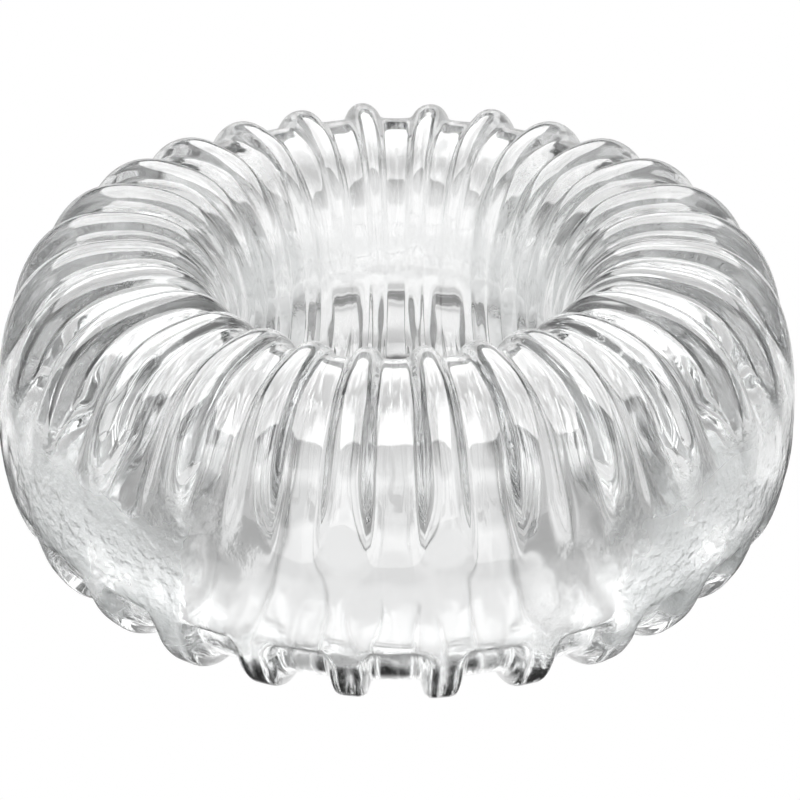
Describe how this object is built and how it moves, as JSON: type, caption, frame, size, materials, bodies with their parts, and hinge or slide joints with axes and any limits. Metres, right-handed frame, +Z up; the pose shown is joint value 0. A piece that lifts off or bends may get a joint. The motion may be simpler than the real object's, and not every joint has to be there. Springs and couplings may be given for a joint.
{
  "type": "glass insulator ring",
  "caption": "Thick clear glass insulator ring with rounded ribs round its tube, a smooth outer band and a round through hole.",
  "frame": {"origin": "on the hole's axis, in the plane that the ribs' feet stand on", "axes": "+Z up along the hole's axis, -Y towards the groove that faces the viewer"},
  "size_m": [0.0764, 0.0764, 0.0302],
  "materials": {
    "clear_glass": "fire-polished clear glass"
  },
  "bodies": {
    "root": {"glass_ring": "clear_glass"}
  },
  "joints": []
}
